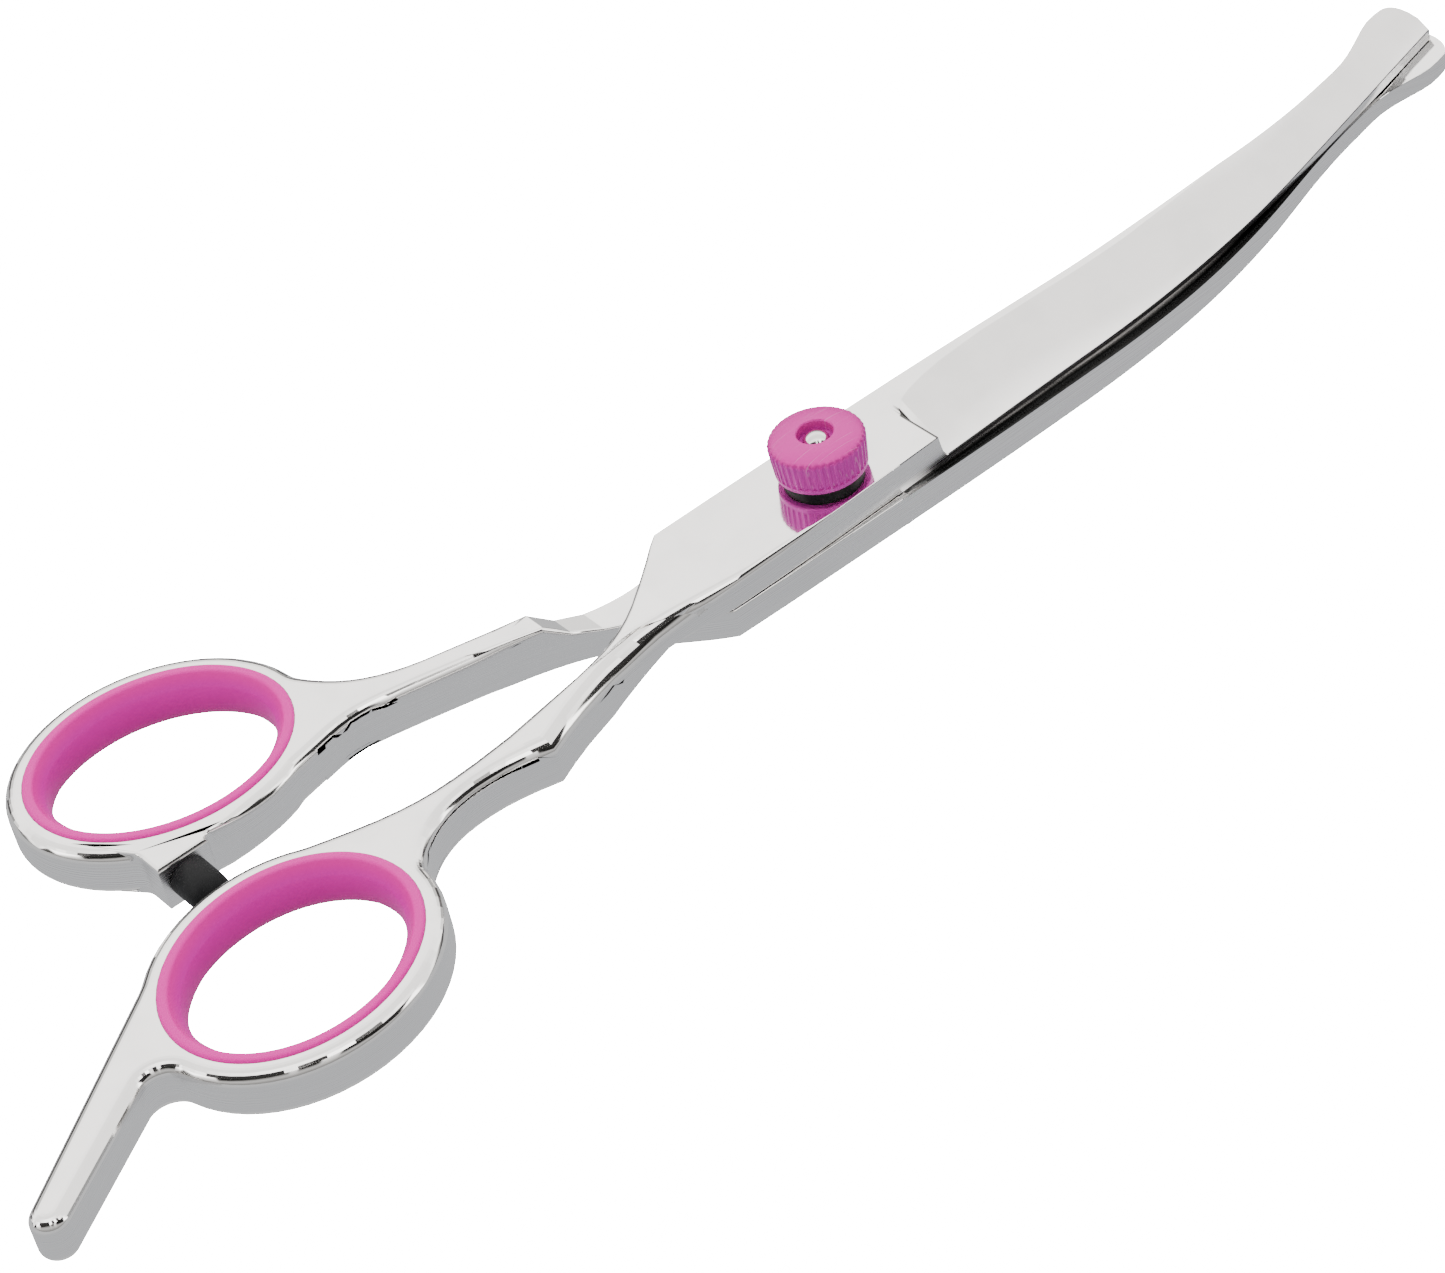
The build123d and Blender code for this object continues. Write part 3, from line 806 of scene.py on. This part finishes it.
# ---------------------------------------------------------------- soft pieces
def ring_lining(name, node, turn):
    """A waisted lining with rounded lips that grip the ring's web.  Points are (depth, height)."""
    outside = [(0.0, lip_round), (0.0, lip_height), (lip_depth, lip_height), (lip_depth, upper_lip_from),
               (0.0, upper_lip_from)]
    mouth_centre = mouth_depth - mouth_round
    top_rim = arc((lip_round, lining_top - lip_round), lip_round, 180, 90, 5)
    top_mouth = arc((mouth_centre, lining_top - mouth_round), mouth_round, 90, 20, 5)
    half = lining_top / 2
    waist = []
    for height in between(lining_top - waist_from, waist_from, waist_steps)[1:-1]:
        share = 1 - ((height - half) / half) ** 2
        waist.append((mouth_depth + (throat_depth - mouth_depth) * share, height))
    low_mouth = arc((mouth_centre, mouth_round), mouth_round, -20, -90, 5)
    low_rim = arc((lip_round, lip_round), lip_round, 270, 190, 4)
    outline = outside + top_rim + top_mouth + waist + low_mouth + low_rim
    rings = [(lining_long - d, lining_short - d, z) for d, z in outline]
    piece = loops(name, rings, lining_points, True)
    at = middle(node)
    place(piece, (at.x, at.y, 0), (0, 0, turn))
    smooth(piece, angle=50)
    return piece


def stop_bumper():
    """A domed rubber plug between the rings, on a stem in its boss."""
    low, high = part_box("bumper")
    radius = (high[0] - low[0]) / 2 / MM
    tip = (high[1] - low[1]) / MM - bumper_socket
    shoulder = tip - bumper_round
    dome = []
    for degrees in range(0, 86, 12):
        t = math.radians(degrees)
        dome.append((radius * math.cos(t), shoulder + bumper_round * math.sin(t)))
    outline = [(bumper_stem_radius, bumper_socket_gap - bumper_socket), (bumper_stem_radius, 0.0),
               (radius - bumper_edge, 0.0), (radius, bumper_edge)] + dome + [(bumper_flat, tip)]
    piece = turned("stop_bumper", outline, bumper_points)
    centre = middle("bumper")
    place(piece, (centre.x, high[1] - bumper_socket * MM, centre.z), (90, 0, 0))
    smooth(piece, angle=45)
    return piece


# ---------------------------------------------------------------- pivot pieces
def bolt():
    """Flat head, shank and a thread end with a polished dome."""
    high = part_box("pivot_bolt")[1][2] / MM
    sphere = (bolt_thread_radius ** 2 + bolt_dome ** 2) / (2 * bolt_dome)
    dome = []
    for radius in between(bolt_thread_radius, 0.0, bolt_dome_steps)[1:-1]:
        dome.append((radius, high - sphere + math.sqrt(sphere ** 2 - radius ** 2)))
    neck_top = bolt_head_height + bolt_neck_height
    outline = [(bolt_head_radius - bolt_head_chamfer, 0.0), (bolt_head_radius, bolt_head_chamfer),
               (bolt_head_radius, bolt_head_height), (bolt_neck_radius, bolt_head_height),
               (bolt_neck_radius, neck_top), (bolt_shank_radius, neck_top),
               (bolt_shank_radius, bolt_shoulder), (bolt_thread_radius, bolt_shoulder),
               (bolt_thread_radius, high - bolt_dome - bolt_dome_edge)] + dome
    piece = turned("pivot_bolt_turned", outline, turned_points)
    smooth(piece, angle=35)
    return piece


def dial_outline(base, crown, edge):
    """Points (radius, height) of the dial: its side, dome, recess, bore and the spring's seat."""
    foot = dial_top_radius - dome_inset
    lower_rim = dial_bottom_radius + (dial_top_radius - dial_bottom_radius) * dial_rim / (edge - base)
    side = [(dial_bottom_radius - dial_chamfer, base), (dial_bottom_radius, base + dial_chamfer),
            (lower_rim, base + dial_rim - dial_rim_step), (lower_rim, base + dial_rim),
            (dial_top_radius - dial_side_inset, edge - dome_inset)]
    lip = dial_recess_radius + dial_chamfer
    dome = [(lip + (foot - lip) * math.cos(t), edge + dial_dome * math.sin(t))
            for t in between(0.0, math.pi / 2, dome_steps)]
    recess = [(dial_recess_radius, crown - dial_chamfer), (dial_recess_radius, crown - dial_recess_depth),
              (dial_bore, crown - dial_recess_depth), (dial_bore, base + spring_seat_depth),
              (spring_seat_radius, base + spring_seat_depth), (spring_seat_radius, base)]
    return side + dome + recess


def dial():
    """The tension dial, with flutes round its side that run out on its dome."""
    low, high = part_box("tension_dial")
    base = low[2] / MM
    crown = high[2] / MM
    edge = crown - dial_dome
    run_out = dial_dome * flute_run_out
    piece = turned("fluted_dial", dial_outline(base, crown, edge), flute_count * points_per_flute, True)
    start_edit(piece)
    shape = bmesh.from_edit_mesh(piece.data)
    for corner in shape.verts:
        radius = math.hypot(corner.co.x, corner.co.y) / MM
        height = corner.co.z / MM
        if radius <= fluted_radius or not base + dial_rim - hair < height < edge + run_out:
            continue
        turn = math.atan2(corner.co.y, corner.co.x) / (2 * math.pi) * flute_count
        phase = abs(turn - round(turn)) * 2
        depth = flute_depth * math.sqrt(max(0.0, 1 - (phase / flute_share) ** 2))
        fade = min(1.0, 1.0 - (height - edge) / run_out)
        share = 1 - depth * fade / radius
        corner.co.x *= share
        corner.co.y *= share
    bmesh.update_edit_mesh(piece.data)
    end_edit()
    smooth(piece, angle=38)
    return piece


# ---------------------------------------------------------------- camera, floor and light
def make_camera():
    """A long lens, from above and beside the rings."""
    data = bpy.data.cameras.new("camera")
    data.sensor_width = camera_sensor
    data.lens = camera_lens
    data.clip_start = 0.01
    data.clip_end = 20.0
    camera = bpy.data.objects.new("camera", data)
    turn = Euler([math.radians(t) for t in camera_turn]).to_matrix()
    camera.matrix_world = Matrix.Translation(camera_place) @ turn.to_4x4()
    bpy.context.scene.collection.objects.link(camera)
    bpy.context.scene.camera = camera


def softbox(name, at, width, height, power, colour=(1, 1, 1)):
    """A lamp that faces the pivot and doesn't show in the steel."""
    data = bpy.data.lights.new(name, "AREA")
    data.shape = "RECTANGLE"
    data.size = width
    data.size_y = height
    data.energy = power
    data.color = colour
    light = bpy.data.objects.new(name, data)
    light.location = at
    light.rotation_euler = (-light.location).to_track_quat("-Z", "Y").to_euler()
    light.visible_glossy = False
    bpy.context.scene.collection.objects.link(light)


def make_floor():
    """Pale paper: pure white to the camera, and a soft grey in what the steel mirrors."""
    bpy.ops.object.select_all(action="DESELECT")
    bpy.ops.mesh.primitive_plane_add(size=floor_width, location=(0, 0, cad_bounds[0].z - floor_drop))
    floor = bpy.context.active_object
    floor.name = "floor"
    material, tree, shader = finish_of("floor_paper")
    feed(tree, shader, Base_Color=paper, Roughness=0.9)
    path = add(tree, "ShaderNodeLightPath")
    white = add(tree, "ShaderNodeEmission", Color=pure_white, Strength=floor_white)
    grey = add(tree, "ShaderNodeEmission", Color=(0.97, 0.98, 1.0, 1), Strength=floor_mirrored)
    mirrored = add(tree, "ShaderNodeMixShader", i0=path.outputs["Is Glossy Ray"], i1=shader.outputs[0],
                   i2=grey.outputs[0])
    shown = add(tree, "ShaderNodeMixShader", i0=path.outputs["Is Camera Ray"], i1=mirrored.outputs[0],
                i2=white.outputs[0])
    tree.links.new(shown.outputs[0], tree.nodes["Material Output"].inputs[0])
    dress(floor, material)


def make_world():
    """The studio that the steel mirrors: a white sweep from the far side to overhead, and black flags on the
    near side.  Angles run from the far horizon, over the top, to the near one."""
    world = bpy.data.worlds.new("studio")
    bpy.context.scene.world = world
    world.use_nodes = True
    tree = world.node_tree
    background = tree.nodes["Background"]
    direction = add(tree, "ShaderNodeTexCoord").outputs["Generated"]
    ahead = add(tree, "ShaderNodeVectorMath", {"operation": "DOT_PRODUCT"}, i0=direction, i1=far_side)
    across = add(tree, "ShaderNodeVectorMath", {"operation": "DOT_PRODUCT"}, i0=direction, i1=right_side)
    up = add(tree, "ShaderNodeSeparateXYZ", i0=direction).outputs[2]
    angle = calc(tree, "ARCTAN2", calc(tree, "MAXIMUM", up, 0.0), ahead.outputs["Value"])
    share = calc(tree, "DIVIDE", angle, math.pi)
    sweep = stops_ramp(tree, share, sweep_stops)
    flags = stops_ramp(tree, share, flag_stops)
    flag_place = calc(tree, "MULTIPLY", across.outputs["Value"], flag_spacing)
    flagged = ramp(tree, noise_along(tree, calc(tree, "ADD", flag_place, flag_shift), 0.0), *flag_edge)
    brightness = calc(tree, "MULTIPLY", sweep, blend(tree, flagged, 1.0, flags))
    path = add(tree, "ShaderNodeLightPath")
    mirrored = calc(tree, "MULTIPLY", brightness, sweep_brightness)
    strength = blend(tree, path.outputs["Is Glossy Ray"], soft_fill, mirrored)
    strength = blend(tree, path.outputs["Is Camera Ray"], strength, floor_white)
    tree.links.new(strength, background.inputs["Strength"])
    tint = mix(tree, path.outputs["Is Camera Ray"], (*warm_white, 1), pure_white)
    tree.links.new(tint, background.inputs["Color"])


def make_lights():
    """A wide panel on the far side, and a smaller one overhead."""
    softbox("far_panel", (0.42, 0.72, 0.70), width=1.2, height=0.9, power=9.7, colour=warm_white)
    softbox("overhead", (-0.25, -0.05, 1.0), width=0.9, height=0.7, power=6)


# ---------------------------------------------------------------- assembly
brushing = brushing_group()
wear = wear_group()
steel = steel_finish(brushing, wear)
silicone = silicone_finish(wear)
rubber = moulded("black_rubber", (0.006, 0.006, 0.007, 1), (0.012, 0.012, 0.013, 1), 0.45, 3000.0, 0.2)
black_nylon = moulded("black_nylon", (0.010, 0.010, 0.011, 1), (0.018, 0.018, 0.019, 1), 0.38, 5000.0, 0.1)
slip_nylon = moulded("slip_nylon", (0.72, 0.71, 0.66, 1), (0.80, 0.79, 0.75, 1), 0.42, 5000.0, 0.1)
bolt_steel = turned_metal("polished_bolt_steel", (0.88, 0.87, 0.85, 1), (0.74, 0.73, 0.71, 1), 0.10)
bronze = turned_metal("bush_bronze", (0.72, 0.46, 0.20, 1), (0.52, 0.31, 0.13, 1), 0.24)
spring_steel = turned_metal("spring_steel", (0.52, 0.50, 0.48, 1), (0.36, 0.34, 0.33, 1), 0.30)

finger_ring = (middle("finger_insert"), finger_ring_turn)
thumb_ring = (middle("thumb_insert"), thumb_ring_turn)
finger_half = blade_half("finger_half", "upper_blade", finger_ring, 1, finger_rounding)
add_piece(finger_half, "upper", steel, "upper_blade")
thumb_half = blade_half("thumb_half", "lower_blade", thumb_ring, -1, thumb_rounding)
add_piece(thumb_half, "lower", steel, "lower_blade")
finger_lining = ring_lining("finger_lining", "finger_insert", finger_ring_turn)
add_piece(finger_lining, "upper", silicone, "finger_insert")
thumb_lining = ring_lining("thumb_lining", "thumb_insert", thumb_ring_turn)
add_piece(thumb_lining, "lower", silicone, "thumb_insert")
add_piece(stop_bumper(), "lower", rubber, "bumper")
add_piece(bolt(), "lower", bolt_steel, "pivot_bolt")
add_piece(dial(), "dial", dial_finish(wear), "tension_dial")

dress(bpy.data.objects["nylon_washer"], black_nylon)
dress(bpy.data.objects["pivot_disc"], slip_nylon)
dress(bpy.data.objects["pivot_bush"], bronze)
dress(bpy.data.objects["disc_spring"], spring_steel)

make_camera()
make_floor()
make_world()
make_lights()
